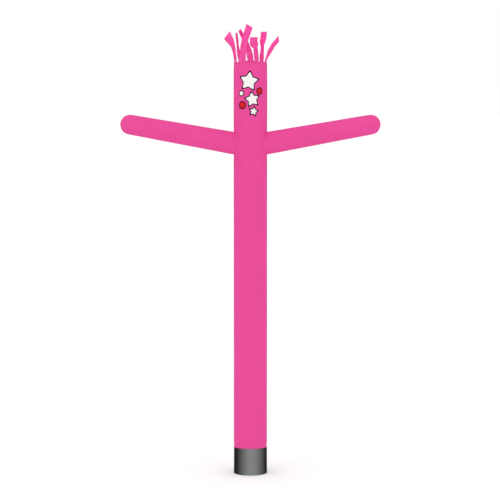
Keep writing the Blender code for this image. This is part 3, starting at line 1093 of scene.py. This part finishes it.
# Each row is one ribbon, rooted at a turn on the rim (degrees from the face side towards +X).
# It bends through a middle place to its tip; the face degrees say which way its flat side
# looks, the twist is the share of its upper half that it takes to turn there, and the bow is
# how far that half bends aside. The slant is how much higher one corner of its end is cut.
HAIR_RIBBONS = (
    # root_deg, root_width, middle (x, y, z), tip (x, y, z), mid_face, tip_face, twist, bow, slant
    (-65, 0.062, (-0.228, -0.135, 5.831), (-0.316, -0.200, 6.004), -62, -8, 1.0, 0.0, 0.032),
    (-143, 0.066, (-0.172, 0.212, 5.860), (-0.193, 0.236, 6.050), -106, -104, 1.0, 0.0, 0.0),
    (178, 0.072, (-0.041, 0.238, 5.876), (-0.148, 0.241, 6.086), 121, 109, 1.0, 0.0, -0.008),
    (-29, 0.086, (-0.088, -0.212, 5.882), (-0.012, -0.255, 6.126), -42, -40, 1.0, 0.0, -0.005),
    (23, 0.056, (0.070, -0.222, 5.829), (0.049, -0.262, 5.972), 62, 24, 0.30, -0.017, -0.015),
    (136, 0.064, (0.161, 0.196, 5.860), (0.185, 0.240, 6.061), 116, 136, 0.45, 0.0, 0.004),
    (65, 0.062, (0.276, -0.130, 5.820), (0.382, -0.190, 5.957), 57, 54, 1.0, 0.0, -0.045),
)


def band_point(across, run, lift=0.0):
    out = radial(across / TUBE_RADIUS)
    return out * (tube_radius(RIM_Z) + lift) + Vector((0, 0, run))


def make_band(nylon):
    fold = BAND_THICK / 2
    section = []
    for middle, first in ((BAND_LOW + fold, -math.pi / 2), (BAND_LOW + BAND_HEIGHT - fold, 0.0)):
        for step in range(FOLD_TURNS + 1):
            turn = first + math.pi / 2 * step / FOLD_TURNS
            section.append((fold * (math.cos(turn) - 1), middle + fold * math.sin(turn)))
    section += [(-BAND_THICK - lift, z) for lift, z in reversed(section[1:-1])]
    acrosses = stretch(-BACK, BACK, TUBE_GIRTH / BAND_COLUMNS)
    points = [band_point(across, z, lift) for lift, z in section for across in acrosses]
    runs = [0.0]
    for (lift, z), (next_lift, next_z) in zip(section, section[1:]):
        runs.append(runs[-1] + math.hypot(next_lift - lift, next_z - z))
    flat = [(across, run) for run in runs for across in acrosses]
    faces = list(woven_faces(len(section), len(acrosses), ring=True, loop=True))
    band = cloth_object("hair_band", points, flat, faces, nylon, TUBE_GIRTH)
    fix(
        band, "pink_cloth", "hair", flat=(TUBE_GIRTH, BAND_HEIGHT + BAND_THICK),
        rests_on=["tube_cloth"],
    )
    return band


def smooth_point(before, start, end, after, t):
    """A point of the smooth curve that runs from start to end."""
    return 0.5 * (
        2 * start
        + (end - before) * t
        + (2 * before - 5 * start + 4 * end - after) * t**2
        + (3 * start - before - 3 * end + after) * t**3
    )


def ease(share):
    """Rises from 0 to 1, slowly at both ends."""
    return share**2 * (3 - 2 * share)


def make_ribbon(number, row, band, nylon):
    root_deg, root_width, middle, end, mid_face, tip_face, twist, bow, slant = row
    turn = math.radians(root_deg)
    root = radial(turn) * (tube_radius(RIM_Z) - BAND_THICK / 2)
    root.z = BAND_LOW + ROOT_RISE
    mid, tip = Vector(middle), Vector(end)
    below, above = root - Vector((0, 0, mid.z - root.z)), tip + (tip - mid)
    length = RIBBON_SLACK * ((mid - root).length + (tip - mid).length)
    points, flat = [], []
    for step in range(RIBBON_ROWS + 1):
        share = step / RIBBON_ROWS
        if share <= 0.5:
            knots, t = (below, root, mid, tip), share * 2
            face = root_deg + (mid_face - root_deg) * ease(t)
            aside = 0.0
        else:
            knots, t = (root, mid, tip, above), share * 2 - 1
            turned = t if twist == 1 else ease(min(1.0, t / twist))
            face = mid_face + (tip_face - mid_face) * turned
            aside = bow * math.sin(math.pi * t)
        centre = smooth_point(*knots, t)
        ahead = smooth_point(*knots, t + CURVE_STEP)
        rise = (ahead - smooth_point(*knots, t - CURVE_STEP)).normalized()
        side = rise.cross(radial(math.radians(face))).normalized()
        out = side.cross(rise)
        centre += side * aside
        spread = min(1.0, share / RIBBON_SPREAD_AT)
        half = (root_width + (RIBBON_WIDTH - root_width) * spread) / 2
        free = min(1.0, share / ROOT_FREE_AT)
        for column in range(RIBBON_COLUMNS + 1):
            j = 2 * column / RIBBON_COLUMNS - 1
            curl = RIBBON_CURL * free * (j**2 - RIBBON_CURL_LEVEL)
            curl *= math.sin(RIBBON_CURL_TURN * share + number)
            run = 2 * share * length / RIBBON_FLUTTER_PITCH
            wave = noise.noise(Vector((run, RIBBON_FLUTTER_ACROSS * j, number)))
            pleat = ROOT_PLEAT * (1 - spread) ** ROOT_PLEAT_FADE
            pleat *= math.cos(math.pi * ROOT_PLEATS * (j + 1))
            out_of_band = share * length - (BAND_HEIGHT - ROOT_RISE)
            pleat *= max(0.0, min(1.0, out_of_band / ROOT_PLEAT_START))
            rim_curve = (1 - free) * (half * j) ** 2 / (2 * TUBE_RADIUS)
            lift = curl + RIBBON_FLUTTER * free * wave + pleat - rim_curve
            cut = slant * j * share**RIBBON_END_CUT
            points.append(centre + side * half * j + rise * cut + out * lift)
            flat.append((RIBBON_WIDTH / 2 * j, length * share + cut))
    faces = list(woven_faces(RIBBON_ROWS + 1, RIBBON_COLUMNS + 1))
    ribbon = cloth_object(
        f"hair_ribbon_{number}", points, flat, faces, nylon, thickness=NYLON_THICK
    )
    fix(ribbon, "pink_cloth", flat=(RIBBON_WIDTH, length), rests_on=[band])


def make_hair(nylon, lit_cloth, thread):
    band = make_band(nylon)
    for number, row in enumerate(HAIR_RIBBONS, start=1):
        make_ribbon(number, row, band, lit_cloth)
    paths = [round_path(band_point, BAND_LOW + rise, 0.0) for rise in BAND_TOPSTITCHES]
    sew("hair_band_stitches", paths, thread, "pink_cloth")


LIT_THROUGH = {
    "Subsurface Weight": 1.0, "Subsurface Radius": LIT_CLOTH_RADIUS,
    "Subsurface Scale": LIT_CLOTH_SCALE,
}
lit_nylon = ripstop_nylon("pink_lit_nylon", LIT_PINK, {**PINK_SHEEN, **LIT_THROUGH})
make_hair(pink_nylon, lit_nylon, pink_thread)


# Patches of dyed nylon decorate the head's front: white stars, and discs in white and red, each
# on a larger black one. They are sewn down along their edges, one layer on the other.
PATCH_THICK = 0.0004
PATCH_LIFT = 0.0006
PATCH_BORDER = 0.014
PATCH_RING_STEP = 0.008
PATCH_LEAST_RINGS = 3
PATCH_TURNS = 160
PATCH_STITCH_INSET = 0.003
STAR_POINTS = 5
STAR_WAIST = 0.54
STAR_BLUNT = 0.92
STAR_BLUNT_POWER = 20
PATCH_DYES = {
    "white": (238, 237, 234),
    "red": (206, 32, 38),
    "black": (12, 11, 13),
}

PATCHES = (
    # shape, across, height, reach, turn_deg, dye
    ("star", -0.020, 5.385, 0.132, 7, "white"),
    ("disc", 0.130, 5.252, 0.036, 0, "red"),
    ("disc", -0.128, 5.222, 0.028, 0, "white"),
    ("star", 0.026, 5.140, 0.098, -9, "white"),
    ("disc", -0.114, 5.062, 0.042, 0, "red"),
    ("star", 0.044, 4.980, 0.054, 12, "white"),
)


def edge_share(shape):
    """How far the outline's edges lie from the middle, as a share of its reach."""
    half = math.pi / STAR_POINTS
    waist = STAR_WAIST * Vector((math.cos(half), math.sin(half)))
    edge = waist - Vector((1, 0))
    return edge.y / edge.length if shape == "star" else 1.0


def patch_reach(shape, turn):
    """How far a patch's outline lies from its middle, as a share, turned from straight up."""
    if shape == "disc":
        return 1.0
    half = math.pi / STAR_POINTS
    off = abs(math.remainder(turn, 2 * half))
    point = math.cos(off), math.sin(off)
    tip, waist = Vector((1, 0)), STAR_WAIST * Vector((math.cos(half), math.sin(half)))
    edge = waist - tip
    sharp = tip.x * edge.y / (point[0] * edge.y - point[1] * edge.x)
    blend = sharp**-STAR_BLUNT_POWER + STAR_BLUNT**-STAR_BLUNT_POWER
    return blend ** (-1 / STAR_BLUNT_POWER)


def dyed_nylon(dye):
    return ripstop_nylon(
        f"{dye}_patch_nylon", PATCH_DYES[dye], {"Specular IOR Level": 0.04}
    )


def make_patch(name, row, grow, lift, nylon, rests_on):
    """One patch as rings from its middle out, laid on the tube at a lift."""
    shape, across, height, reach, turn_deg, _ = row
    rings = max(PATCH_LEAST_RINGS, round(reach / PATCH_RING_STEP))
    turns = stretch(0.0, 2 * math.pi, 2 * math.pi / PATCH_TURNS)
    offsets = [(0.0, 0.0)]
    for ring in range(1, rings + 1):
        for turn in turns:
            away = patch_reach(shape, turn) * (reach + grow) * ring / rings
            lean = turn - math.radians(turn_deg)
            offsets.append((-away * math.sin(lean), away * math.cos(lean)))
    flat = [(across + x, height + z) for x, z in offsets]
    points = [tube_point(x, z, lift) for x, z in flat]
    faces = [[0, 1 + j, 1 + (j + 1) % PATCH_TURNS] for j in range(PATCH_TURNS)]
    grid = woven_faces(rings, PATCH_TURNS, ring=True)
    faces += [[i + 1 for i in (a, d, c, b)] for a, b, c, d in grid]
    patch = cloth_object(name, points, flat, faces, nylon, thickness=PATCH_THICK)
    size = 2 * (reach + grow)
    share = sum(patch_reach(shape, turn) ** 2 for turn in turns) / PATCH_TURNS
    area = share * math.pi * (reach + grow) ** 2
    fix(patch, "pink_cloth", flat=(size, size), area=area, rests_on=[rests_on])
    inset = 1 - PATCH_STITCH_INSET / (reach + grow)
    outline = offsets[-PATCH_TURNS:] + offsets[-PATCH_TURNS:][:1]
    path = []
    for x, z in outline:
        x, z = across + x * inset, height + z * inset
        path.append((tube_point(x, z, lift), radial(x / TUBE_RADIUS)))
    return patch, path


def make_patches(tube):
    cloths = {dye: dyed_nylon(dye) for dye in PATCH_DYES}
    threads = {dye: sewing_thread(f"{dye}_thread", colour) for dye, colour in PATCH_DYES.items()}
    paths = {dye: [] for dye in PATCH_DYES}
    for number, row in enumerate(PATCHES, start=1):
        dye, name = row[5], f"patch_{number}"
        backing, path = make_patch(
            name + "_backing", row, PATCH_BORDER / edge_share(row[0]), PATCH_LIFT,
            cloths["black"], tube
        )
        paths["black"].append(path)
        _, path = make_patch(name, row, 0.0, 2 * PATCH_LIFT, cloths[dye], backing)
        paths[dye].append(path)
    for dye, found in paths.items():
        sew(f"{dye}_patch_stitches", found, threads[dye], "pink_cloth")


make_patches(body)
